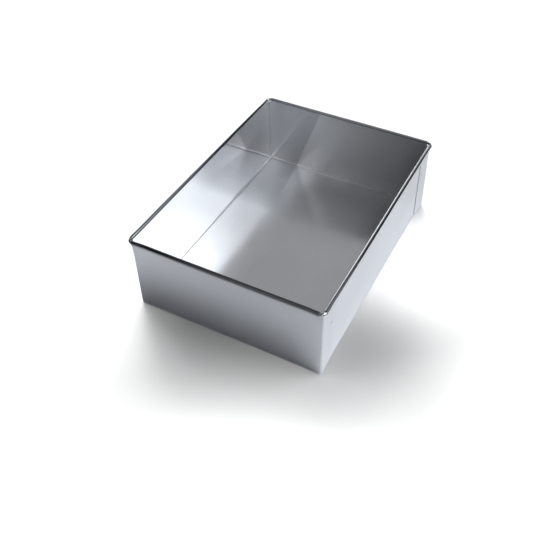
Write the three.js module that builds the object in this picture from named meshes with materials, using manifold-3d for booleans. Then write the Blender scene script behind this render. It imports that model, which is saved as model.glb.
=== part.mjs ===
// Rectangular cake pan: one folded sheet with lapped corners, its rim rolled over a wire.
// Millimetres. Origin at the middle of the underside, X across, Y along, Z up.
import * as THREE from 'three';
import { mergeVertices } from 'three/addons/utils/BufferGeometryUtils.js';
import Module from 'manifold-3d';

const wasm = await Module();
wasm.setup();

// Driving dimensions
const LENGTH = 250; // outside the end walls, along Y
const WIDTH = 180; // outside the long walls, along X
const HEIGHT = 80; // underside of the floor to the top of the rim
const SHEET = 0.6; // thickness of the sheet
const BEND_RADIUS = 0.5; // inside radius of every fold
const CORNER_RELIEF = 0.15; // slit between the fold of an end wall and the metal beside it
const CORNER_GAP = 0.3; // end of a long wall to the end wall that it butts against
const LAP_WIDTH = 22; // reach of a corner tab along the long wall, from the outside of the end wall
const LAP_GAP = 0.15; // long wall to the tab that lies on it
const LAP_TAPER = 3; // rise of the tab's lower edge towards its free edge
const TAB_FOOT = 0.4; // underside of the floor to the tab's lower edge, at the corner
const WELD_DIAMETER = 3; // the spot weld that holds each tab
const WELD_DEPTH = 0.15; // mark that the electrode leaves on the outside
const WELD_FLAT = 2.1; // diameter of the flat bottom of that mark
const WELD_INSET = 16.5; // outside of the end wall to the weld
const WELD_DROP = 25; // top of the wall to the weld
const WIRE_DIAMETER = 2.6;
const WIRE_CLEARANCE = 0.1; // wire to the inside of the bead
const WIRE_CORNER_RADIUS = 3.6; // middle of the wire, round the corners
const WIRE_BUTT_GAP = 0.4; // between the wire's two ends, inside the bead of one end wall
const BARE_WIRE = 0.4; // straight wire that shows between a bead's end and the corner's bend
const BEAD_WRAP = 300; // degrees that the sheet is rolled round the wire
const RIM_GAP = 0.3; // under the bare wire and under the beads

// Facets
const FOLD_SEGMENTS = 3; // half the flats in a quarter-round fold
const BEAD_SEGMENTS = 10; // half the flats in a rolled bead
const WIRE_SEGMENTS = 6; // half the flats round the wire
const WIRE_CORNER_STEPS = 8; // steps of the wire round one corner
const WELD_SIDES = 16;
const OVERLAP = 2; // material that two joined stretches of the sheet share

// Sizes that follow
const bendOutside = BEND_RADIUS + SHEET;
const beadInside = WIRE_DIAMETER / 2 + WIRE_CLEARANCE;
const beadOutside = beadInside + SHEET;
const wireLevel = HEIGHT - beadOutside;
const wallTop = wireLevel - WIRE_DIAMETER / 2 - RIM_GAP;
const tabTop = wireLevel - beadOutside - RIM_GAP;
const tabInside = WIDTH / 2 + LAP_GAP;
const tabOutside = tabInside + SHEET;
const wireHalfWidth = WIDTH / 2 + beadInside;
const wireHalfLength = LENGTH / 2 + beadInside;
const bareCorner = WIRE_CORNER_RADIUS + BARE_WIRE;

const QUARTER = Math.PI / 2;

// Solids and booleans

function solid(geometry) {
  const bare = geometry.clone();
  bare.deleteAttribute('normal');
  bare.deleteAttribute('uv');
  const merged = mergeVertices(bare);
  return new wasm.Manifold(new wasm.Mesh({
    numProp: 3,
    vertProperties: merged.attributes.position.array,
    triVerts: new Uint32Array(merged.index.array),
  }));
}

function geometryOf(manifold) {
  const mesh = manifold.getMesh();
  const geometry = new THREE.BufferGeometry();
  geometry.setAttribute('position', new THREE.BufferAttribute(mesh.vertProperties, 3));
  geometry.setIndex(new THREE.BufferAttribute(mesh.triVerts, 1));
  geometry.computeVertexNormals();
  return geometry;
}

// Outline of a bent strip of sheet. The path follows the strip's left face from a start point and
// a heading. A step is { line: length } or { bend: radians, radius: inside }, positive to the left.
function stripShape(start, heading, steps) {
  const left = [];
  const right = [];
  const point = start.clone();
  const leftward = () => new THREE.Vector2(-Math.sin(heading), Math.cos(heading));
  const markPoint = () => {
    left.push({ to: point.clone() });
    right.push({ to: point.clone().addScaledVector(leftward(), -SHEET) });
  };
  markPoint();
  for (const step of steps) {
    if (step.line !== undefined) {
      point.x += step.line * Math.cos(heading);
      point.y += step.line * Math.sin(heading);
      markPoint();
      continue;
    }
    const side = Math.sign(step.bend);
    const leftRadius = side > 0 ? step.radius : step.radius + SHEET;
    const rightRadius = side > 0 ? step.radius + SHEET : step.radius;
    const centre = point.clone().addScaledVector(leftward(), side * leftRadius);
    const from = heading - side * QUARTER;
    const to = from + step.bend;
    left.push({ centre, radius: leftRadius, from, to, clockwise: side < 0 });
    right.push({ centre, radius: rightRadius, from: to, to: from, clockwise: side > 0 });
    heading += step.bend;
    point.copy(centre).addScaledVector(leftward(), -side * leftRadius);
  }
  const shape = new THREE.Shape();
  shape.moveTo(left[0].to.x, left[0].to.y);
  for (const part of [...left.slice(1), ...right.reverse()]) {
    if (part.centre) {
      shape.absarc(part.centre.x, part.centre.y, part.radius, part.from, part.to, part.clockwise);
    } else {
      shape.lineTo(part.to.x, part.to.y);
    }
  }
  return shape;
}

// A profile drawn outwards and up, run along a wall that faces the given way round the Z axis
function alongWall(shape, run, facing, segments) {
  const geometry = new THREE.ExtrudeGeometry(shape, {
    depth: run,
    bevelEnabled: false,
    curveSegments: segments,
  });
  geometry.translate(0, 0, -run / 2);
  geometry.rotateX(QUARTER);
  geometry.rotateZ(facing);
  return solid(geometry);
}

// Parts of the sheet

function floor() {
  const geometry = new THREE.BoxGeometry(WIDTH - 2 * bendOutside, LENGTH - 2 * bendOutside, SHEET);
  geometry.translate(0, 0, SHEET / 2);
  return solid(geometry);
}

// Fold between the floor and a wall whose outside lies at reach from the middle
function floorFold(reach, run, facing) {
  const start = new THREE.Vector2(reach - bendOutside - OVERLAP, SHEET);
  const shape = stripShape(start, 0, [
    { line: OVERLAP },
    { bend: QUARTER, radius: BEND_RADIUS },
    { line: OVERLAP },
  ]);
  return alongWall(shape, run, facing, FOLD_SEGMENTS);
}

// Top of a wall, rolled outwards and down round the wire
function rimBead(reach, run, facing) {
  const start = new THREE.Vector2(reach - SHEET, wallTop - OVERLAP);
  const shape = stripShape(start, QUARTER, [
    { line: wireLevel - wallTop + OVERLAP },
    { bend: -THREE.MathUtils.degToRad(BEAD_WRAP), radius: beadInside },
  ]);
  return alongWall(shape, run, facing, BEAD_SEGMENTS);
}

function longWall(facing) {
  const wallRun = LENGTH - 2 * (SHEET + CORNER_GAP);
  const wall = new THREE.BoxGeometry(SHEET, wallRun, wallTop - bendOutside);
  wall.translate((WIDTH - SHEET) / 2, 0, (wallTop + bendOutside) / 2);
  wall.rotateZ(facing);
  return solid(wall)
    .add(floorFold(WIDTH / 2, wallRun, facing))
    .add(rimBead(WIDTH / 2, 2 * (wireHalfLength - bareCorner), facing));
}

// Side view of an end wall and its tabs, outwards to the right, a little larger than the sheet
function endWallSideView() {
  const outside = LENGTH / 2 + OVERLAP;
  const bendEnd = LENGTH / 2 - bendOutside;
  const tabEnd = LENGTH / 2 - LAP_WIDTH - OVERLAP;
  const slope = LAP_TAPER / (LAP_WIDTH - bendOutside);
  const beadEnd = wireHalfLength - bareCorner + RIM_GAP;
  return new THREE.Shape([
    new THREE.Vector2(outside, TAB_FOOT),
    new THREE.Vector2(outside, wallTop),
    new THREE.Vector2(beadEnd, wallTop),
    new THREE.Vector2(beadEnd, tabTop),
    new THREE.Vector2(tabEnd, tabTop),
    new THREE.Vector2(tabEnd, TAB_FOOT + slope * (bendEnd - tabEnd)),
    new THREE.Vector2(bendEnd, TAB_FOOT),
  ]);
}

// End wall with the tabs that turn round the corners and lie on the long walls
function endWall(facing) {
  const plan = stripShape(new THREE.Vector2(tabInside, LENGTH / 2 - LAP_WIDTH), QUARTER, [
    { line: LAP_WIDTH - bendOutside },
    { bend: QUARTER, radius: BEND_RADIUS },
    { line: 2 * (tabInside - BEND_RADIUS) },
    { bend: QUARTER, radius: BEND_RADIUS },
    { line: LAP_WIDTH - bendOutside },
  ]);
  const wall = new THREE.ExtrudeGeometry(plan, {
    depth: HEIGHT,
    bevelEnabled: false,
    curveSegments: FOLD_SEGMENTS,
  });
  wall.rotateZ(facing - QUARTER);
  // Between the slits, the end wall starts where its fold ends
  const foldRoom = new THREE.BoxGeometry(2 * OVERLAP, WIDTH - 2 * bendOutside, 2 * bendOutside);
  foldRoom.translate(LENGTH / 2, 0, 0);
  foldRoom.rotateZ(facing);
  return solid(wall)
    .intersect(alongWall(endWallSideView(), 2 * (tabOutside + OVERLAP), facing, 1))
    .subtract(solid(foldRoom))
    .add(floorFold(LENGTH / 2, WIDTH - 2 * (bendOutside + CORNER_RELIEF), facing))
    .add(rimBead(LENGTH / 2, 2 * (wireHalfWidth - bareCorner), facing));
}

// A round solid along X between two places, with a radius at each
function plug(xFrom, xTo, radiusFrom, radiusTo) {
  const geometry = new THREE.CylinderGeometry(radiusTo, radiusFrom, xTo - xFrom, WELD_SIDES);
  geometry.rotateZ(-QUARTER);
  geometry.translate((xFrom + xTo) / 2, 0, 0);
  return geometry;
}

// Sheet with a tab welded to the long wall that faces the given way, near the end at y
function weldTab(sheet, y, facing) {
  const nuggetRadius = WELD_DIAMETER / 2;
  const flatRadius = WELD_FLAT / 2;
  // The marking cone goes on past the sheet's face by the depth of the mark
  const coneRadius = 2 * nuggetRadius - flatRadius;
  const nugget = plug((WIDTH - SHEET) / 2, tabInside + SHEET / 2, nuggetRadius, nuggetRadius);
  const mark = plug(tabOutside - WELD_DEPTH, tabOutside + WELD_DEPTH, flatRadius, coneRadius);
  const place = (geometry) => solid(geometry.translate(0, y, wallTop - WELD_DROP).rotateZ(facing));
  return sheet.add(place(nugget)).subtract(place(mark));
}

function panSheet() {
  let sheet = floor();
  for (const turn of [0, Math.PI]) {
    sheet = sheet.add(longWall(turn)).add(endWall(turn + QUARTER));
  }
  const weldY = LENGTH / 2 - WELD_INSET;
  for (const turn of [0, Math.PI]) {
    sheet = weldTab(sheet, weldY, turn);
    sheet = weldTab(sheet, -weldY, turn);
  }
  return geometryOf(sheet);
}

// Wire of the rim

// A path through stations that were placed beforehand, so that its straight runs stay straight
class StationPath extends THREE.Curve {
  constructor(stations) {
    super();
    this.stations = stations;
  }

  at(u) {
    return this.stations[Math.round(u * (this.stations.length - 1))];
  }

  getPointAt(u, target = new THREE.Vector3()) {
    return target.copy(this.at(u).point);
  }

  getTangentAt(u, target = new THREE.Vector3()) {
    return target.copy(this.at(u).tangent);
  }
}

// Once round the rim, from the middle of the end at +Y to the same place, by way of -X
function rimPath() {
  const atButt = (x) => ({
    point: new THREE.Vector3(x, wireHalfLength, wireLevel),
    tangent: new THREE.Vector3(-1, 0, 0),
  });
  const centreX = wireHalfWidth - WIRE_CORNER_RADIUS;
  const centreY = wireHalfLength - WIRE_CORNER_RADIUS;
  const corners = [[-1, 1], [-1, -1], [1, -1], [1, 1]];
  const stations = [atButt(-WIRE_BUTT_GAP / 2)];
  corners.forEach(([signX, signY], corner) => {
    for (let step = 0; step <= WIRE_CORNER_STEPS; step += 1) {
      const angle = QUARTER * (corner + 1 + step / WIRE_CORNER_STEPS);
      const outward = new THREE.Vector3(Math.cos(angle), Math.sin(angle), 0);
      const centre = new THREE.Vector3(signX * centreX, signY * centreY, wireLevel);
      stations.push({
        point: centre.addScaledVector(outward, WIRE_CORNER_RADIUS),
        tangent: new THREE.Vector3(-outward.y, outward.x, 0),
      });
    }
  });
  stations.push(atButt(WIRE_BUTT_GAP / 2));
  return new StationPath(stations);
}

function rimWire() {
  const section = new THREE.Shape();
  section.absarc(0, 0, WIRE_DIAMETER / 2, 0, 2 * Math.PI, false);
  const path = rimPath();
  return new THREE.ExtrudeGeometry(section, {
    extrudePath: path,
    steps: path.stations.length - 1,
    curveSegments: WIRE_SEGMENTS,
    bevelEnabled: false,
  });
}

// Assembly

function part(name, geometry, color, roughness) {
  const mesh = new THREE.Mesh(
    geometry,
    new THREE.MeshStandardMaterial({ color, roughness, metalness: 1 }),
  );
  mesh.name = name;
  return mesh;
}

const pan = new THREE.Group();
pan.name = 'cake_pan';
pan.add(part('pan_sheet', panSheet(), 0xc4c7cc, 0.24));
pan.add(part('rim_wire', rimWire(), 0x9a9da1, 0.38));

export default pan;
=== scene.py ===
"""Looks of the rectangular cake pan: one folded sheet with lapped corners, its rim rolled over a wire.

Lengths in the code are millimetres in the frame of the solids, and become metres when an object is made.
"""
import math
from collections import namedtuple

import bmesh
import bpy
import numpy as np
from mathutils import Matrix, Vector


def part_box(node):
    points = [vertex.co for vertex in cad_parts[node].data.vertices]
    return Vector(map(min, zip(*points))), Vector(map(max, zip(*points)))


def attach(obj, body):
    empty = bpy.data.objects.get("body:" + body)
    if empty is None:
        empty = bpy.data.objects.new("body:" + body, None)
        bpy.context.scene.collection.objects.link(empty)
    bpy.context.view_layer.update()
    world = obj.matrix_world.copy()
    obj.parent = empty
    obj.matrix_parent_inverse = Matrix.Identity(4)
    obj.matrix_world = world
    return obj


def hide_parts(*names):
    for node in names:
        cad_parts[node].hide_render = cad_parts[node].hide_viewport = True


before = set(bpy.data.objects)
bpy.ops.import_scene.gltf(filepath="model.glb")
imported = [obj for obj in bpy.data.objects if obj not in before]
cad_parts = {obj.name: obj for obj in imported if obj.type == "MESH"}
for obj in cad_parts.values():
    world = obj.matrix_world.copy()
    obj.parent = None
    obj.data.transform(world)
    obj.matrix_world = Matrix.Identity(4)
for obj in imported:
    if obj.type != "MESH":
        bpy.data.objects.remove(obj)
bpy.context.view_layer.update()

MM = 0.001

# Sizes of the sheet and the wire, as in the solids
SHEET = 0.6
BEND_RADIUS = 0.5
CORNER_RELIEF = 0.15
CORNER_GAP = 0.3
LAP_WIDTH = 22.0
LAP_GAP = 0.15
LAP_TAPER = 3.0
TAB_FOOT = 0.4
WELD_DIAMETER = 3.0
WELD_DEPTH = 0.15
WELD_FLAT = 2.1
WELD_INSET = 16.5
WELD_DROP = 25.0
WIRE_DIAMETER = 2.6
WIRE_CLEARANCE = 0.1
WIRE_CORNER_RADIUS = 3.6
WIRE_BUTT_GAP = 0.4
BARE_WIRE = 0.4
BEAD_WRAP = math.radians(300)
RIM_GAP = 0.3

# Finer than in the solids: how far up the tab's taper bends its grid, and the ring round a weld mark
TAPER_FADE = 18.0
RING_INSIDE = 1.2
RING_CREST = 1.7
RING_OUTSIDE = 2.6
RING_HEIGHT = 0.04

# Fineness of the meshes
PANEL_STEP = 4.0
WELD_STEP = 0.35
WELD_ZONE = 3.3
FOLD_STEPS = 10
BEAD_STEPS = 36
WIRE_STEP = 8.0
WIRE_SIDES = 24
WIRE_CORNER_STEPS = 16
SHARP_ANGLE = math.radians(35)
TOLERANCE = 0.01
ROUNDING = 1e-6

# Points in the same cell are one corner of the sheet. The shift keeps common sizes off the cells' borders.
CELLS_PER_MM = 100.0
CELL_SHIFT = 0.37

# Sizes that follow
bend_outside = BEND_RADIUS + SHEET
bead_inside = WIRE_DIAMETER / 2 + WIRE_CLEARANCE
bead_outside = bead_inside + SHEET
sheet_low, sheet_high = (np.array(corner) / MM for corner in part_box("pan_sheet"))
rim_reach = bead_inside + bead_outside
half_width = (sheet_high[0] - sheet_low[0]) / 2 - rim_reach
half_length = (sheet_high[1] - sheet_low[1]) / 2 - rim_reach
height = sheet_high[2]
wire_level = height - bead_outside
wall_top = wire_level - WIRE_DIAMETER / 2 - RIM_GAP
tab_top = wire_level - bead_outside - RIM_GAP
tab_inside = half_width + LAP_GAP
wire_half_width = half_width + bead_inside
wire_half_length = half_length + bead_inside
bare_corner = WIRE_CORNER_RADIUS + BARE_WIRE
bead_half_width = wire_half_width - bare_corner
bead_half_length = wire_half_length - bare_corner
floor_half_width = half_width - bend_outside
floor_half_length = half_length - bend_outside
long_wall_end = half_length - SHEET - CORNER_GAP
weld_level = wall_top - WELD_DROP
weld_y = half_length - WELD_INSET

# Places on the flat blank, measured from its middle: where the walls start, the beads start, the welds sit
fold_length = BEND_RADIUS * math.pi / 2
wall_base = fold_length - bend_outside
bead_start_x = floor_half_width + wall_base + wire_level
bead_start_y = floor_half_length + wall_base + wire_level
weld_blank_x = tab_inside - BEND_RADIUS + fold_length + half_length - bend_outside - weld_y
weld_blank_y = floor_half_length + wall_base + weld_level

# The blank's third coordinate tells its faces apart: none on the inner face, this much on the outer one
OUTER_FACE = 50.0


# Small departures from a perfect box, as a hand-folded sheet has

# A point moves with a wall when it is near it, and not at all when it is far
WALL_NEAR = 5.0
WALL_FAR = 14.0

# Outward bows in the middle of each wall, growing with height
RIGHT_BOW = 0.10
LEFT_BOW = 0.30
BACK_BOW = 0.05
FRONT_BOW = 0.24
BOW_START_LEVEL = 4.0
BOW_FULL_LEVEL = 70.0
LONG_BOW_HALF = 60.0
END_BOW_HALF = 40.0
BOW_END_INSET = 2.0

# Outward leans: half of the right and back walls' rims, the whole left wall, and the end walls' feet
RIGHT_LEAN = -0.6
LEFT_SHIFT = 0.5
BACK_LEAN = -0.4
LEAN_BLEND = 60.0
BACK_FOOT = 2.6
FRONT_FOOT = -0.8

# Outward flare of the front end under its bead, and of the two front corners
FRONT_FLARE = 0.4
FLARE_LEVEL = 62.0
FLARE_RISE = 16.0
LONG_CORNER_FLARE = 0.25
END_CORNER_FLARE = 0.5
LONG_CORNER_REACH = 15.0
END_CORNER_REACH = 14.0
CORNER_FADE = 14.0
CORNER_LEVEL = 58.0
CORNER_RISE = 20.0

# Faint waves of the walls, with their lengths per radian along the wall and up it
WAVE_HEIGHT = 0.10
LONG_WAVE_ALONG = 37.0
LONG_WAVE_UP = 27.0
END_WAVE_ALONG = 31.0
END_WAVE_UP = 25.0

# Uneven rise of the middle of the floor, and of its back edge
FLOOR_RISE = 0.30
FLOOR_UNEVEN = 0.6
FLOOR_WAVE_X = 33.0
FLOOR_WAVE_Y = 41.0
FLOOR_PHASE_X = 0.7
FLOOR_PHASE_Y = -0.4
FLOOR_FLAT_X = 45.0
FLOOR_FLAT_Y = 75.0
FLOOR_TOP = 1.0
FLOOR_FREE = 3.0
BACK_RAMP = 0.3
BACK_RAMP_START = 102.0


def smooth_step(value, low, high):
    part = np.clip((value - low) / (high - low), 0.0, 1.0)
    return part * part * (3.0 - 2.0 * part)


def near_plane(distance):
    """One on a wall, fading to nothing a little way off it"""
    return 1.0 - smooth_step(np.abs(distance), WALL_NEAR, WALL_FAR)


def near_corner(past_reach, z):
    """Grows from nothing to one towards a front corner's rim"""
    return smooth_step(past_reach / CORNER_FADE + (z - CORNER_LEVEL) / CORNER_RISE, 1.0, 2.0)


def long_wall_shift(x, y, z):
    rise = smooth_step(z, BOW_START_LEVEL, BOW_FULL_LEVEL)
    along = 1.0 - smooth_step(np.abs(y), LONG_BOW_HALF, half_length - BOW_END_INSET)
    corner = LONG_CORNER_FLARE * near_corner(LONG_CORNER_REACH - half_length - y, z)
    right_lean = RIGHT_LEAN * smooth_step(y, -LEAN_BLEND, LEAN_BLEND) * rise
    shift = 0.0
    for side, bow, lean in ((1.0, RIGHT_BOW, right_lean), (-1.0, LEFT_BOW, LEFT_SHIFT)):
        wave = WAVE_HEIGHT * np.sin(y / LONG_WAVE_ALONG + side) * np.sin(z / LONG_WAVE_UP)
        outward = (bow * rise + wave) * along + lean + corner
        shift = shift + side * near_plane(x - side * half_width) * outward
    return shift


def end_wall_shift(x, y, z):
    rise = smooth_step(z, BOW_START_LEVEL, BOW_FULL_LEVEL)
    across = 1.0 - smooth_step(np.abs(x), END_BOW_HALF, half_width - BOW_END_INSET)
    corner = END_CORNER_FLARE * near_corner(END_CORNER_REACH - half_width + np.abs(x), z) * (y < 0.0)
    to_foot = np.clip(1.0 - z / wire_level, 0.0, 1.0)
    back_lean = BACK_FOOT * to_foot
    back_lean = back_lean + BACK_LEAN * (1.0 - smooth_step(x, -LEAN_BLEND, LEAN_BLEND)) * rise
    front_lean = FRONT_FOOT * to_foot
    front_lean = front_lean + FRONT_FLARE * np.clip((z - FLARE_LEVEL) / FLARE_RISE, 0.0, 1.0) ** 2
    shift = 0.0
    for side, bow, lean in ((1.0, BACK_BOW, back_lean), (-1.0, FRONT_BOW, front_lean)):
        wave = WAVE_HEIGHT * np.sin(x / END_WAVE_ALONG - side) * np.sin(z / END_WAVE_UP)
        outward = (bow * rise + wave) * across + lean + corner
        shift = shift + side * near_plane(y - side * half_length) * outward
    return shift


def floor_lift(x, y, z):
    on_floor = 1.0 - smooth_step(z, FLOOR_TOP, FLOOR_FREE)
    wave = np.sin(x / FLOOR_WAVE_X + FLOOR_PHASE_X) * np.sin(y / FLOOR_WAVE_Y + FLOOR_PHASE_Y)
    inner = 1.0 - smooth_step(np.abs(x), FLOOR_FLAT_X, floor_half_width)
    inner = inner * (1.0 - smooth_step(np.abs(y), FLOOR_FLAT_Y, floor_half_length))
    ramp = np.clip((y - BACK_RAMP_START) / (half_length - BACK_RAMP_START), 0.0, 1.0) ** 2
    return on_floor * (inner * FLOOR_RISE * (1.0 + FLOOR_UNEVEN * wave) + BACK_RAMP * ramp)


def warp(points):
    """The same soft field for sheet and wire, so that they stay together"""
    x, y, z = points.T
    shifts = [long_wall_shift(x, y, z), end_wall_shift(x, y, z), floor_lift(x, y, z)]
    return points + np.column_stack(shifts)


# Lines of the grids

def grid_lines(stops, step):
    """Values through all the stops, no further apart than the step"""
    values = [stops[0]]
    for start, end in zip(stops, stops[1:]):
        count = max(1, math.ceil((end - start) / step - ROUNDING))
        values += [start + (end - start) * (k + 1) / count for k in range(count)]
    return np.array(values)


def mirrored(stops):
    return [-stop for stop in reversed(stops)] + list(stops)


def lines_with_weld(before, weld, after):
    """Lines through the stops before and after a weld, with fine ones across it"""
    return np.concatenate([
        grid_lines(before + [weld - WELD_ZONE], PANEL_STEP),
        grid_lines([weld - WELD_ZONE, weld + WELD_ZONE], WELD_STEP)[1:],
        grid_lines([weld + WELD_ZONE] + after, PANEL_STEP)[1:],
    ])


x_lines = grid_lines(mirrored([bead_half_width, floor_half_width - CORNER_RELIEF, floor_half_width,
                               tab_inside - BEND_RADIUS]), PANEL_STEP)
y_lines = grid_lines(mirrored([bead_half_length, floor_half_length, long_wall_end]), PANEL_STEP)
wall_levels = grid_lines([bend_outside, wall_top, wire_level], PANEL_STEP)
end_levels = lines_with_weld([TAB_FOOT, bend_outside], weld_level, [tab_top, wall_top])
tab_lines = lines_with_weld([half_length - LAP_WIDTH], weld_y,
                            [bead_half_length + RIM_GAP, half_length - bend_outside])


# The folded sheet

def weld_dent(points):
    """How much thinner the sheet is at each point: the welds' pressed marks and the rings round them"""
    distance = np.hypot(np.abs(points[:, 1]) - weld_y, points[:, 2] - weld_level)
    on_tab = np.abs(np.abs(points[:, 0]) - tab_inside) < TOLERANCE
    pressed = 1.0 - smooth_step(distance, WELD_FLAT / 2, WELD_DIAMETER / 2)
    ring = smooth_step(distance, RING_INSIDE, RING_CREST)
    ring = ring * (1.0 - smooth_step(distance, RING_CREST, RING_OUTSIDE))
    return np.where(on_tab, WELD_DEPTH * pressed - RING_HEIGHT * ring, 0.0)


class Sheet:
    """A thin sheet: points of its inner face with their normals, shared where two panels meet"""

    def __init__(self):
        self.lookup = {}
        self.points = []
        self.normals = []
        self.blank = []
        self.faces = []

    def corner(self, point, normal, blank):
        key = tuple(np.floor(point * CELLS_PER_MM + CELL_SHIFT).astype(int))
        if key not in self.lookup:
            self.lookup[key] = len(self.points)
            self.points.append(point)
            self.normals.append(normal)
            self.blank.append(blank)
        return self.lookup[key]

    def panel(self, points, normals, blank, keep):
        """Grids of points, normals and places on the flat blank, with a mask of the cells to keep"""
        for row, column in np.argwhere(keep):
            ring = [(row, column), (row, column + 1), (row + 1, column + 1), (row + 1, column)]
            face = [self.corner(points[at], normals[at], blank[at]) for at in ring]
            one, two, four = points[ring[0]], points[ring[1]], points[ring[3]]
            if np.dot(np.cross(two - one, four - one), normals[ring[0]]) < 0:
                face.reverse()
            self.faces.append(face)

    def solid(self):
        """Both faces of the sheet and its cut edges, as points, places on the blank and faces"""
        inner = np.array(self.points)
        outer = inner - np.array(self.normals) * (SHEET - weld_dent(inner))[:, None]
        count = len(inner)
        blank = np.array(self.blank)
        both_blank = np.vstack([
            np.column_stack([blank, np.zeros(count)]),
            np.column_stack([blank, np.full(count, OUTER_FACE)]),
        ])
        faces = [list(face) for face in self.faces]
        faces += [[corner + count for corner in reversed(face)] for face in self.faces]
        used = {}
        for face in self.faces:
            for start, end in zip(face, face[1:] + face[:1]):
                used.setdefault((min(start, end), max(start, end)), []).append((start, end))
        for edges in used.values():
            if len(edges) == 1:
                start, end = edges[0]
                faces.append([end, start, start + count, end + count])
        return warp(np.vstack([inner, outer])), both_blank, faces


def wall_profile(reach):
    """Fold, wall and rolled bead of a wall: distance out, level, normal and path length of each point"""
    rows = []
    for k in range(FOLD_STEPS + 1):
        angle = -math.pi / 2 * (1 - k / FOLD_STEPS)
        rows.append((reach - bend_outside + BEND_RADIUS * math.cos(angle),
                     bend_outside + BEND_RADIUS * math.sin(angle),
                     -math.cos(angle), -math.sin(angle), BEND_RADIUS * (angle + math.pi / 2)))
    for level in wall_levels[1:]:
        rows.append((reach - SHEET, level, -1.0, 0.0, wall_base + level))
    for k in range(1, BEAD_STEPS + 1):
        turned = BEAD_WRAP * k / BEAD_STEPS
        angle = math.pi - turned
        rows.append((reach + bead_inside + bead_outside * math.cos(angle),
                     wire_level + bead_outside * math.sin(angle),
                     math.cos(angle), math.sin(angle), wall_base + wire_level + bead_outside * turned))
    return np.array(rows)


def wall_grid(profile, places, side, out_axis, floor_half):
    """Points, normals and places on the blank of a wall along the places, standing out on one axis"""
    out, level, normal_out, normal_up, path = profile.T
    along_axis = 1 - out_axis
    points = np.empty((len(profile), len(places), 3))
    points[..., out_axis] = side * out[:, None]
    points[..., along_axis] = places[None, :]
    points[..., 2] = level[:, None]
    normals = np.zeros_like(points)
    normals[..., out_axis] = side * normal_out[:, None]
    normals[..., 2] = normal_up[:, None]
    blank = np.empty(points.shape[:2] + (2,))
    blank[..., out_axis] = side * (floor_half + path[:, None])
    blank[..., along_axis] = places[None, :]
    return points, normals, blank


def wall_mask(profile, places, fold_half, wall_half, bead_half):
    """The cells of a wall's grid to keep: how far the fold, the wall and the bead run to either side"""
    row = np.arange(len(profile) - 1)
    is_fold = row < FOLD_STEPS
    is_wall = ~is_fold & (row < FOLD_STEPS + len(wall_levels) - 1)
    is_wall &= (profile[1:, 1] + profile[:-1, 1]) / 2 < wall_top
    reach = np.where(is_fold, fold_half, np.where(is_wall, wall_half, bead_half))
    middle = np.abs((places[1:] + places[:-1]) / 2)
    return middle[None, :] < reach[:, None]


def add_floor_panel(sheet):
    floor_x = x_lines[np.abs(x_lines) < floor_half_width + TOLERANCE]
    floor_y = y_lines[np.abs(y_lines) < floor_half_length + TOLERANCE]
    grid_x, grid_y = np.meshgrid(floor_x, floor_y, indexing="ij")
    points = np.stack([grid_x, grid_y, np.full_like(grid_x, SHEET)], -1)
    normals = np.zeros_like(points)
    normals[..., 2] = 1.0
    sheet.panel(points, normals, points[..., :2], np.ones(np.array(grid_x.shape) - 1, bool))


def add_long_wall(sheet, side):
    """Fold, wall and bead of a long side"""
    profile = wall_profile(half_width)
    keep = wall_mask(profile, y_lines, long_wall_end, long_wall_end, bead_half_length)
    sheet.panel(*wall_grid(profile, y_lines, side, 0, floor_half_width), keep)


def add_end_fold_and_bead(sheet, side):
    profile = wall_profile(half_length)
    keep = wall_mask(profile, x_lines, floor_half_width - CORNER_RELIEF, 0.0, bead_half_width)
    sheet.panel(*wall_grid(profile, x_lines, side, 1, floor_half_length), keep)


def end_plan():
    """Tab, bend, end wall, bend and tab at the +Y end, from above: place, normal and place on the blank"""
    bend_x = tab_inside - BEND_RADIUS
    bend_y = half_length - bend_outside
    right = [(tab_inside, y, -1.0, 0.0, bend_x + fold_length + bend_y - y) for y in tab_lines]
    for k in range(1, FOLD_STEPS + 1):
        angle = math.pi / 2 * k / FOLD_STEPS
        right.append((bend_x + BEND_RADIUS * math.cos(angle), bend_y + BEND_RADIUS * math.sin(angle),
                      -math.cos(angle), -math.sin(angle), bend_x + BEND_RADIUS * (math.pi / 2 - angle)))
    middle = [(x, half_length - SHEET, 0.0, -1.0, x) for x in x_lines[::-1][1:-1]]
    flipped = np.array([-1.0, 1.0, -1.0, 1.0, -1.0])
    left = [tuple(flipped * row) for row in reversed(right)]
    return np.array(right + middle + left)


def add_end_wall(sheet, side):
    """An end wall with its two tabs bent round onto the long walls"""
    x, y, normal_x, normal_y, unrolled = end_plan().T
    on_tab = np.isclose(np.abs(normal_x), 1.0)
    taper = np.where(on_tab, floor_half_length - y, 0.0) * LAP_TAPER / (LAP_WIDTH - bend_outside)
    taper_share = 1.0 - np.clip((end_levels - TAB_FOOT) / TAPER_FADE, 0.0, 1.0)
    points = np.empty((len(end_levels), len(x), 3))
    points[..., 0] = x[None, :]
    points[..., 1] = side * y[None, :]
    points[..., 2] = end_levels[:, None] + taper[None, :] * taper_share[:, None]
    normals = np.zeros_like(points)
    normals[..., 0] = normal_x[None, :]
    normals[..., 1] = side * normal_y[None, :]
    blank = np.empty(points.shape[:2] + (2,))
    blank[..., 0] = unrolled[None, :]
    blank[..., 1] = side * (floor_half_length + wall_base + end_levels[:, None])
    middle_level = ((end_levels[1:] + end_levels[:-1]) / 2)[:, None]
    under_bead = ((y[1:] + y[:-1]) / 2 < bead_half_length + RIM_GAP)[None, :]
    over_fold = (np.abs((x[1:] + x[:-1]) / 2) < floor_half_width)[None, :]
    keep = ~(under_bead & (middle_level > tab_top))
    keep &= ~(over_fold & (middle_level < bend_outside))
    sheet.panel(points, normals, blank, keep)


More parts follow.
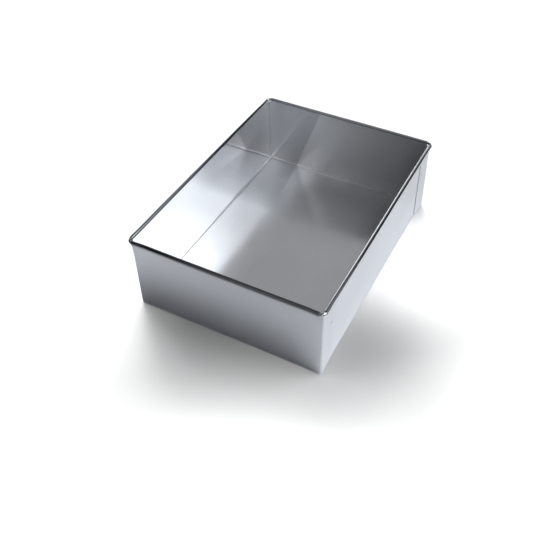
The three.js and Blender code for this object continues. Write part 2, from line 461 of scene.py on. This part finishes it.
def build_sheet():
    sheet = Sheet()
    add_floor_panel(sheet)
    for side in (1.0, -1.0):
        add_long_wall(sheet, side)
    for side in (1.0, -1.0):
        add_end_fold_and_bead(sheet, side)
        add_end_wall(sheet, side)
    return sheet.solid()


# The wire in the rim

def wire_stations():
    """Places along the wire with the outward direction there, from a butt in the middle of the +Y end"""
    stations = []

    def straight(start, end, outward):
        count = math.ceil(math.dist(start, end) / WIRE_STEP)
        for k in range(count + 1):
            part = k / count
            place = (start[0] + (end[0] - start[0]) * part, start[1] + (end[1] - start[1]) * part)
            stations.append((place, outward))

    last = (-WIRE_BUTT_GAP / 2, wire_half_length)
    for number, (sign_x, sign_y) in enumerate(((-1, 1), (-1, -1), (1, -1), (1, 1))):
        centre = (sign_x * (wire_half_width - WIRE_CORNER_RADIUS),
                  sign_y * (wire_half_length - WIRE_CORNER_RADIUS))
        for k in range(WIRE_CORNER_STEPS + 1):
            angle = math.pi / 2 * (number + 1 + k / WIRE_CORNER_STEPS)
            outward = (math.cos(angle), math.sin(angle))
            place = (centre[0] + WIRE_CORNER_RADIUS * outward[0],
                     centre[1] + WIRE_CORNER_RADIUS * outward[1])
            if k == 0:
                straight(last, place, outward)
            elif k < WIRE_CORNER_STEPS:
                stations.append((place, outward))
        last = place
    straight(last, (WIRE_BUTT_GAP / 2, wire_half_length), (0.0, 1.0))
    return stations


def build_wire():
    """A round wire once round the rim, with flat ends"""
    stations = wire_stations()
    points = []
    blank = []
    travelled = 0.0
    previous = stations[0][0]
    for place, outward in stations:
        travelled += math.dist(previous, place)
        previous = place
        for k in range(WIRE_SIDES):
            angle = 2 * math.pi * k / WIRE_SIDES
            reach = WIRE_DIAMETER / 2 * math.cos(angle)
            points.append((place[0] + outward[0] * reach, place[1] + outward[1] * reach,
                           wire_level + WIRE_DIAMETER / 2 * math.sin(angle)))
            blank.append((travelled, WIRE_DIAMETER / 2 * angle, 0.0))
    faces = []
    for ring in range(len(stations) - 1):
        for k in range(WIRE_SIDES):
            here = ring * WIRE_SIDES + k
            beside = ring * WIRE_SIDES + (k + 1) % WIRE_SIDES
            faces.append([here, beside, beside + WIRE_SIDES, here + WIRE_SIDES])
    faces.append(list(reversed(range(WIRE_SIDES))))
    faces.append([len(points) - WIRE_SIDES + k for k in range(WIRE_SIDES)])
    return warp(np.array(points)), np.array(blank), faces


def make_piece(name, points, blank, faces, material):
    """An object from points, places on the flat blank and faces, smooth except at sharp edges"""
    mesh = bpy.data.meshes.new(name)
    mesh.from_pydata((points * MM).tolist(), [], faces)
    attribute = mesh.attributes.new("blank", "FLOAT_VECTOR", "POINT")
    attribute.data.foreach_set("vector", (blank * MM).astype(np.float32).ravel())
    work = bmesh.new()
    work.from_mesh(mesh)
    bmesh.ops.recalc_face_normals(work, faces=work.faces)
    for face in work.faces:
        face.smooth = True
    for edge in work.edges:
        edge.smooth = edge.calc_face_angle(0.0) < SHARP_ANGLE
    work.to_mesh(mesh)
    work.free()
    mesh.materials.append(material)
    piece = bpy.data.objects.new(name, mesh)
    bpy.context.scene.collection.objects.link(piece)
    return piece


# Materials

# Patterns in the metal, in cycles per metre along the three coordinates of the blank
CLOUD_SCALE = (14.0, 11.0, 40.0)
SMUDGE_SCALE = (45.0, 32.0, 40.0)
SMUDGE_PLACE = (3.1, 1.7, 0.0)
WAVE_SCALE = (50.0, 5.0, 40.0)
WAVE_PLACE = (7.3, 2.9, 0.0)
SHEET_GRAIN = (900.0, 35.0, 40.0)
WIRE_GRAIN = (30.0, 2500.0, 40.0)

# Values of the patterns between which a metal changes, and how much the grain tints and clouds it
CLOUD_RANGE = (0.35, 0.65)
GRAIN_RANGE = (0.3, 0.7)
SMUDGE_RANGE = (0.3, 0.75)
GRAIN_TINT = 0.05
GRAIN_HAZE = 0.01

# The sheet: colours of two clouds and of the grain, roughness of its gloss and its haze, share of the haze
SHEET_COLOURS = ((0.80, 0.81, 0.83, 1.0), (0.76, 0.775, 0.80, 1.0), (0.72, 0.735, 0.76, 1.0))
SHEET_GLOSS = (0.06, 0.10)
SHEET_BLUR = (0.33, 0.40)
FLOOR_ROUGHER = 0.10
END_ROUGHER = 0.10
WALL_HAZE = 0.13
FLOOR_HAZE = 0.42
SHEET_WAVE = 0.03
WALL_WAVE_SHARE = 0.35
FLOOR_FADE = 3.0
END_FADE = 2.0
END_TOP_FADE = 1.0

# The wire
WIRE_COLOURS = ((0.60, 0.61, 0.63, 1.0), (0.52, 0.53, 0.55, 1.0), (0.40, 0.41, 0.43, 1.0))
WIRE_GLOSS = (0.10, 0.16)
WIRE_BLUR = (0.32, 0.40)
WIRE_HAZE = 0.3
WIRE_WAVE = 0.0035

# Where the blank's third coordinate passes from the inner face to the outer one
INNER_LIMIT = 0.4 * OUTER_FACE
OUTER_LIMIT = 0.6 * OUTER_FACE

# Painted shade on the beads' tops towards the front and in the creases along the long sides, tinted welds,
# and painted highlight and painted shade at the back
BEAD_PAINTED_SHADE = (0.27, 0.28, 0.30, 1.0)
BEAD_FADE = 0.6
BEAD_TOP = 4.0
BEAD_SIDE = 5.0
BEAD_CLEARER = 0.1
# Painted shade inside the folds along the long sides
CREASE_PAINTED_SHADE = (0.42, 0.425, 0.435, 1.0)
CREASE_FADE = 0.15
CREASE_END_FADE = 1.0
CREASE_BACK_START = 20.0
CREASE_BACK_END = 120.0
CREASE_BACK_SHARE = 0.15
WELD_COLOUR = (0.45, 0.46, 0.48, 1.0)
WELD_TINT_REACH = 1.1 * WELD_DIAMETER / 2
# Painted highlight at the back, and painted shade beside the streak on the back wall and floor
PAINTED_HIGHLIGHT = (0.98, 0.985, 1.0, 1.0)
PAINTED_STREAK_SHADE = (0.68, 0.69, 0.71, 1.0)
BAND_WIDTH = 24.0
BAND_SHARE = 0.6
STREAK_X = -57.0
STREAK_LEAN = 0.356
STREAK_DRIFT = 0.15
STREAK_EDGE = 1.5
STREAK_WIDTH = 30.0
STREAK_START = 60.0


class Nodes:
    """Short names for building a node tree"""

    def __init__(self, tree):
        self.tree = tree
        tree.nodes.clear()

    def add(self, kind, inputs=None, **settings):
        node = self.tree.nodes.new(kind)
        for key, value in settings.items():
            setattr(node, key, value)
        for key, value in (inputs or {}).items():
            if isinstance(value, bpy.types.NodeSocket):
                self.tree.links.new(value, node.inputs[key])
            else:
                node.inputs[key].default_value = value
        return node

    def noise(self, vector, stretch, detail=2.0, roughness=0.5, place=(0.0, 0.0, 0.0)):
        """Noise with its own scale along each axis"""
        mapping = self.add("ShaderNodeMapping", {"Vector": vector, "Scale": stretch, "Location": place})
        return self.add("ShaderNodeTexNoise", {"Vector": mapping.outputs["Vector"], "Scale": 1.0,
                                               "Detail": detail, "Roughness": roughness}).outputs["Fac"]

    def remap(self, value, low, high, to_low, to_high):
        """A smooth step from one value to another"""
        return self.add("ShaderNodeMapRange", {"Value": value, "From Min": low, "From Max": high,
                                               "To Min": to_low, "To Max": to_high},
                        interpolation_type="SMOOTHSTEP").outputs["Result"]

    def rise(self, value, low, high):
        return self.remap(value, low, high, 0.0, 1.0)

    def fall(self, value, low, high):
        return self.remap(value, low, high, 1.0, 0.0)

    def maths(self, operation, *values):
        return self.add("ShaderNodeMath", dict(enumerate(values)), operation=operation).outputs[0]

    def product(self, first, *others):
        for other in others:
            first = self.maths("MULTIPLY", first, other)
        return first

    def total(self, first, *others):
        for other in others:
            first = self.maths("ADD", first, other)
        return first

    def mix_colour(self, factor, one, two):
        return self.add("ShaderNodeMix", {0: factor, 6: one, 7: two}, data_type="RGBA").outputs[2]


BlankPlace = namedtuple("BlankPlace", "x y across along inside")


def place_on_blank(n, blank):
    """Millimetres on the flat blank: signed, then to either side, then one on the sheet's inner face"""
    scaled = n.add("ShaderNodeVectorMath", {0: blank, "Scale": 1.0 / MM}, operation="SCALE")
    parts = n.add("ShaderNodeSeparateXYZ", {"Vector": scaled.outputs["Vector"]}).outputs
    across = n.maths("ABSOLUTE", parts["X"])
    along = n.maths("ABSOLUTE", parts["Y"])
    inside = n.fall(parts["Z"], INNER_LIMIT, OUTER_LIMIT)
    return BlankPlace(parts["X"], parts["Y"], across, along, inside)


def clear_and_shade_beads(n, at, colour, haze):
    """Beads are clearer, with painted shade on top towards the front"""
    long_bead = n.rise(at.across, bead_start_x, bead_start_x + BEAD_FADE)
    end_bead = n.rise(at.along, bead_start_y, bead_start_y + BEAD_FADE)
    long_top = n.product(long_bead, n.fall(at.across, bead_start_x + BEAD_TOP, bead_start_x + BEAD_SIDE))
    # Painted shade on the beads' tops, fading out towards the back
    painted_bead_shade = n.product(n.maths("MAXIMUM", long_top, end_bead), n.fall(at.y, 0.0, bead_start_y))
    bead = n.maths("MAXIMUM", long_bead, end_bead)
    haze = n.maths("SUBTRACT", haze, n.remap(bead, 0.0, 1.0, 0.0, BEAD_CLEARER))
    return n.mix_colour(painted_bead_shade, colour, BEAD_PAINTED_SHADE), haze, bead


def paint_crease_shade(n, at, colour):
    """The folds along the long sides have painted shade inside, less so towards the back"""
    crease_end = floor_half_width + fold_length
    crease_shade = n.product(
        n.rise(at.across, floor_half_width - CREASE_FADE, floor_half_width),
        n.fall(at.across, crease_end, crease_end + CREASE_FADE),
        n.fall(at.along, floor_half_length, floor_half_length + CREASE_END_FADE),
        n.remap(at.y, CREASE_BACK_START, CREASE_BACK_END, 1.0, CREASE_BACK_SHARE),
        at.inside)
    return n.mix_colour(crease_shade, colour, CREASE_PAINTED_SHADE)


def mark_welds(n, at, colour):
    off_x = n.maths("SUBTRACT", at.across, weld_blank_x)
    off_y = n.maths("SUBTRACT", at.along, weld_blank_y)
    distance = n.maths("SQRT", n.total(n.product(off_x, off_x), n.product(off_y, off_y)))
    return n.mix_colour(n.fall(distance, WELD_FLAT / 2, WELD_TINT_REACH), colour, WELD_COLOUR)


def paint_back_highlight_and_shade(n, at, bead, colour):
    """A painted highlight on a band of floor along the back fold, and a painted highlight down the back
    wall and the floor, with painted shade on the other side of its edge
    """
    from_back = n.maths("MAXIMUM", n.maths("SUBTRACT", floor_half_length, at.y), 0.0)
    band = n.product(
        n.remap(from_back, 0.0, BAND_WIDTH, BAND_SHARE, 0.0),
        n.fall(at.along, floor_half_length + fold_length / 2, floor_half_length + fold_length),
        at.inside)
    # Painted highlight on the floor along the back fold
    colour = n.mix_colour(band, colour, PAINTED_HIGHLIGHT)
    up_wall = n.maths("MAXIMUM", n.maths("SUBTRACT", at.y, floor_half_length + fold_length), 0.0)
    lean = n.total(n.product(up_wall, STREAK_LEAN), n.product(from_back, STREAK_DRIFT))
    from_edge = n.maths("SUBTRACT", n.maths("SUBTRACT", at.x, STREAK_X), lean)
    at_back = n.product(n.rise(at.y, STREAK_START, floor_half_length), n.fall(bead, 0.0, 1.0), at.inside)
    streak = n.product(n.rise(from_edge, -STREAK_EDGE, STREAK_EDGE),
                       n.fall(from_edge, 0.0, STREAK_WIDTH), at_back)
    shade = n.product(n.fall(from_edge, -STREAK_EDGE, STREAK_EDGE),
                      n.rise(from_edge, -STREAK_WIDTH, 0.0), at_back)
    # Painted highlight on one side of the streak's edge, painted shade on the other
    colour = n.mix_colour(streak, colour, PAINTED_HIGHLIGHT)
    return n.mix_colour(shade, colour, PAINTED_STREAK_SHADE)


def start_metal(name):
    """A new material, its nodes and the place on the flat blank"""
    material = bpy.data.materials.new(name)
    material.use_nodes = True
    n = Nodes(material.node_tree)
    return material, n, n.add("ShaderNodeAttribute", attribute_name="blank").outputs["Vector"]


def grained(n, blank, grain, colours):
    """Colour of clouded metal with a drawn or rolled grain, and how much the grain adds to the haze"""
    cloud = n.noise(blank, CLOUD_SCALE, detail=3.0)
    rolled = n.noise(blank, grain, detail=3.0, roughness=0.6)
    colour = n.mix_colour(n.rise(cloud, *CLOUD_RANGE), colours[0], colours[1])
    colour = n.mix_colour(n.remap(rolled, *GRAIN_RANGE, 0.0, GRAIN_TINT), colour, colours[2])
    return colour, n.remap(rolled, *GRAIN_RANGE, -GRAIN_HAZE, GRAIN_HAZE)


def smudged(n, blank, *ranges):
    """Roughness with smudges, one for each range"""
    smudge = n.noise(blank, SMUDGE_SCALE, detail=4.0, roughness=0.6, place=SMUDGE_PLACE)
    return [n.remap(smudge, *SMUDGE_RANGE, *limits) for limits in ranges]


def finish_metal(n, colour, gloss, blur, haze, height, wave_height):
    """A sharp gloss under a blurred haze, on a surface with faint waves"""
    bump = n.add("ShaderNodeBump", {"Height": height, "Strength": 1.0, "Distance": wave_height * MM})
    lobes = [n.add("ShaderNodeBsdfPrincipled", {
        "Base Color": colour, "Metallic": 1.0, "Roughness": roughness, "Normal": bump.outputs["Normal"],
    }).outputs["BSDF"] for roughness in (gloss, blur)]
    both = n.add("ShaderNodeMixShader", {0: haze, 1: lobes[0], 2: lobes[1]})
    n.add("ShaderNodeOutputMaterial", {"Surface": both.outputs["Shader"]})


def sheet_metal():
    material, n, blank = start_metal("rolled_aluminium_sheet")
    at = place_on_blank(n, blank)
    on_floor = n.product(n.fall(at.across, floor_half_width - FLOOR_FADE, floor_half_width),
                         n.fall(at.along, floor_half_length - FLOOR_FADE, floor_half_length))
    on_end = n.product(n.rise(at.along, floor_half_length, floor_half_length + END_FADE),
                       n.fall(at.along, bead_start_y - END_TOP_FADE, bead_start_y))
    colour, grain_haze = grained(n, blank, SHEET_GRAIN, SHEET_COLOURS)
    haze = n.total(n.remap(on_floor, 0.0, 1.0, WALL_HAZE, FLOOR_HAZE), grain_haze)
    colour, haze, bead = clear_and_shade_beads(n, at, colour, haze)
    colour = paint_crease_shade(n, at, colour)
    colour = mark_welds(n, at, colour)
    colour = paint_back_highlight_and_shade(n, at, bead, colour)
    gloss, blur = smudged(n, blank, SHEET_GLOSS, SHEET_BLUR)
    gloss = n.total(gloss, n.remap(on_floor, 0.0, 1.0, 0.0, FLOOR_ROUGHER),
                    n.remap(on_end, 0.0, 1.0, 0.0, END_ROUGHER))
    wave = n.noise(blank, WAVE_SCALE, detail=1.0, place=WAVE_PLACE)
    wave = n.product(wave, n.remap(on_floor, 0.0, 1.0, WALL_WAVE_SHARE, 1.0))
    finish_metal(n, colour, gloss, blur, haze, wave, SHEET_WAVE)
    return material


def wire_metal():
    material, n, blank = start_metal("drawn_steel_wire")
    colour, grain_haze = grained(n, blank, WIRE_GRAIN, WIRE_COLOURS)
    gloss, blur = smudged(n, blank, WIRE_GLOSS, WIRE_BLUR)
    wave = n.noise(blank, WAVE_SCALE, detail=1.0, place=WAVE_PLACE)
    finish_metal(n, colour, gloss, blur, n.total(grain_haze, WIRE_HAZE), wave, WIRE_WAVE)
    return material


# The two pieces

pan_sheet = make_piece("pan_sheet_fine", *build_sheet(), sheet_metal())
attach(pan_sheet, "root")
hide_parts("pan_sheet")

rim_wire = make_piece("rim_wire_fine", *build_wire(), wire_metal())
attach(rim_wire, "root")
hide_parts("rim_wire")


# Floors: one that the camera sees, and just under it one that shows in the metal only

FLOOR_HALF = 4000.0
STUDIO_LEVEL = -0.1
MIRRORED_LEVEL = -0.4
STUDIO_TONES = ((0.44, 0.44, 0.44, 1.0), (0.46, 0.46, 0.46, 1.0))
MIRRORED_TONES = ((0.785, 0.80, 0.828, 1.0), (0.805, 0.82, 0.848, 1.0))
TONE_SCALE = (6.0, 6.0, 6.0)
FLOOR_ROUGHNESS = 0.9


def add_floor(name, level, tones, hidden_from):
    """A plain floor hidden from some rays, and the collection by which lamps shine on it alone"""
    mesh = bpy.data.meshes.new(name)
    corners = ((-1, -1), (1, -1), (1, 1), (-1, 1))
    points = [(x * FLOOR_HALF * MM, y * FLOOR_HALF * MM, level * MM) for x, y in corners]
    mesh.from_pydata(points, [], [(0, 1, 2, 3)])
    material = bpy.data.materials.new(name)
    material.use_nodes = True
    n = Nodes(material.node_tree)
    place = n.add("ShaderNodeTexCoord").outputs["Object"]
    colour = n.mix_colour(n.noise(place, TONE_SCALE), tones[0], tones[1])
    shader = n.add("ShaderNodeBsdfPrincipled", {"Base Color": colour, "Roughness": FLOOR_ROUGHNESS,
                                                "Specular IOR Level": 0.0})
    n.add("ShaderNodeOutputMaterial", {"Surface": shader.outputs["BSDF"]})
    mesh.materials.append(material)
    floor = bpy.data.objects.new(name, mesh)
    bpy.context.scene.collection.objects.link(floor)
    for ray in hidden_from:
        setattr(floor, "visible_" + ray, False)
    lit = bpy.data.collections.new(name + "_light")
    lit.objects.link(floor)
    return lit


floor_light = add_floor("studio_floor", STUDIO_LEVEL, STUDIO_TONES, ("glossy", "diffuse", "shadow"))
mirrored_light = add_floor("mirrored_floor", MIRRORED_LEVEL, MIRRORED_TONES,
                           ("camera", "diffuse", "shadow"))


# Lamps on the floors

SPOT_RADIUS = 40.0


def towards(azimuth, elevation):
    """Unit vector, with azimuth from +Y towards +X and elevation up from level, in degrees"""
    a, e = math.radians(azimuth), math.radians(elevation)
    return Vector((math.sin(a) * math.cos(e), math.cos(a) * math.cos(e), math.sin(e)))


def place_lamp(lamp, towards_lamp, receiver):
    """Puts a lamp in the scene, shining against a direction, on one receiver and not in the gloss"""
    holder = bpy.data.objects.new(lamp.name, lamp)
    holder.rotation_euler = towards_lamp.to_track_quat("Z", "Y").to_euler()
    holder.visible_glossy = False
    holder.light_linking.receiver_collection = receiver
    bpy.context.scene.collection.objects.link(holder)
    return holder


def add_sun(name, receiver, azimuth, elevation, spread, strength):
    """A wide soft lamp that lights one of the floors"""
    lamp = bpy.data.lights.new(name, "SUN")
    lamp.energy = strength
    lamp.angle = math.radians(spread)
    place_lamp(lamp, towards(azimuth, elevation), receiver)


def add_spot(name, receiver, place, target, cone, power):
    """A soft pool of light on one of the floors, which takes the shadow off a side of the pan"""
    lamp = bpy.data.lights.new(name, "SPOT")
    lamp.energy = power
    lamp.spot_size = math.radians(cone)
    lamp.spot_blend = 1.0
    lamp.shadow_soft_size = SPOT_RADIUS * MM
    holder = place_lamp(lamp, Vector(place) - Vector(target), receiver)
    holder.location = Vector(place) * MM


add_sun("floor_key", floor_light, azimuth=-28.0, elevation=28.0, spread=42.0, strength=6.0)
add_sun("floor_left", floor_light, azimuth=-50.0, elevation=34.0, spread=36.0, strength=3.65)
add_sun("floor_side", floor_light, azimuth=-115.0, elevation=34.0, spread=36.0, strength=1.15)
add_spot("floor_right_fill", floor_light, place=(180.0, 60.0, 220.0), target=(115.0, 40.0, 0.0),
         cone=46.0, power=5.6)
add_spot("floor_left_fill", floor_light, place=(-220.0, -120.0, 260.0), target=(-130.0, -110.0, 0.0),
         cone=40.0, power=2.0)
add_spot("floor_front_fill", floor_light, place=(200.0, -380.0, 260.0), target=(140.0, -290.0, 0.0),
         cone=60.0, power=13.0)
add_spot("floor_far_fill", floor_light, place=(300.0, -60.0, 260.0), target=(270.0, -65.0, 0.0),
         cone=42.0, power=2.4)
add_sun("mirrored_low", mirrored_light, azimuth=10.0, elevation=20.0, spread=34.0, strength=0.78)
add_sun("mirrored_key", mirrored_light, azimuth=20.0, elevation=28.0, spread=34.0, strength=0.73)


# Light around the pan

# Soft boxes, and what mirrors each of them: azimuth, elevation, half angle, brightness
SOFT_BOXES = {
    "right wall": (60.0, 50.0, 27.0, 3.5),
    "right wall, high": (70.0, 65.0, 18.0, 3.3),
    "right wall, behind": (35.0, 65.0, 18.0, 2.4),
    "left wall": (139.0, 27.0, 8.0, 5.4),
    "left wall, behind": (153.0, 27.0, 8.0, 1.9),
    "back corner": (153.0, 41.0, 8.0, 0.5),
    "back of the floor": (202.0, 34.0, 8.0, 0.3),
    "back wall": (209.0, 41.0, 8.0, 0.54),
    "folds": (215.0, 65.0, 18.0, 0.35),
    "middle of the floor": (332.0, 45.0, 22.0, 0.36),
    "rim, low": (315.0, 8.0, 12.0, 6.5),
    "rim, left": (320.0, 24.0, 9.0, 2.0),
    "rim, behind": (0.0, 35.0, 18.0, 0.4),
}
LIGHT_TINT = (0.985, 1.0, 1.02, 1.0)
BACKDROP = 1.05

world = bpy.data.worlds.new("studio")
bpy.context.scene.world = world
world.use_nodes = True
w = Nodes(world.node_tree)
direction = w.add("ShaderNodeTexCoord").outputs["Generated"]
glow = 0.0
for azimuth, elevation, half_angle, brightness in SOFT_BOXES.values():
    facing = w.add("ShaderNodeVectorMath", {0: direction, 1: towards(azimuth, elevation)},
                   operation="DOT_PRODUCT").outputs["Value"]
    glow = w.maths("ADD", w.remap(facing, math.cos(math.radians(half_angle)), 1.0, 0.0, brightness), glow)
to_camera = w.add("ShaderNodeLightPath").outputs["Is Camera Ray"]
seen = w.add("ShaderNodeMix", {0: to_camera, 2: glow, 3: BACKDROP}).outputs[0]
background = w.add("ShaderNodeBackground", {"Color": LIGHT_TINT, "Strength": seen})
w.add("ShaderNodeOutputWorld", {"Surface": background.outputs["Background"]})
bpy.context.scene.view_settings.view_transform = "Standard"


# Camera, at the place that the photo was taken from

IMAGE = 560.0
FOCAL_PIXELS = 747.02
CENTRE_PIXEL = (278.0, 240.0)
SENSOR_WIDTH = 36.0
CAMERA_PLACE = (237.56, -481.29, 511.26)
CAMERA_AZIMUTH = -27.661
CAMERA_ELEVATION = -42.799
CAMERA_ROLL = math.radians(0.231)

lens = bpy.data.cameras.new("photo_camera")
lens.sensor_fit = "HORIZONTAL"
lens.sensor_width = SENSOR_WIDTH
lens.lens = FOCAL_PIXELS * SENSOR_WIDTH / IMAGE
lens.shift_x = 0.5 - CENTRE_PIXEL[0] / IMAGE
lens.shift_y = CENTRE_PIXEL[1] / IMAGE - 0.5
camera = bpy.data.objects.new("photo_camera", lens)
forward = towards(CAMERA_AZIMUTH, CAMERA_ELEVATION)
level_right = towards(CAMERA_AZIMUTH + 90.0, 0.0)
level_down = forward.cross(level_right)
right = level_right * math.cos(CAMERA_ROLL) + level_down * math.sin(CAMERA_ROLL)
up = right.cross(forward)
camera.matrix_world = Matrix((
    (right.x, up.x, -forward.x, CAMERA_PLACE[0] * MM),
    (right.y, up.y, -forward.y, CAMERA_PLACE[1] * MM),
    (right.z, up.z, -forward.z, CAMERA_PLACE[2] * MM),
    (0.0, 0.0, 0.0, 1.0),
))
bpy.context.scene.collection.objects.link(camera)
bpy.context.scene.camera = camera
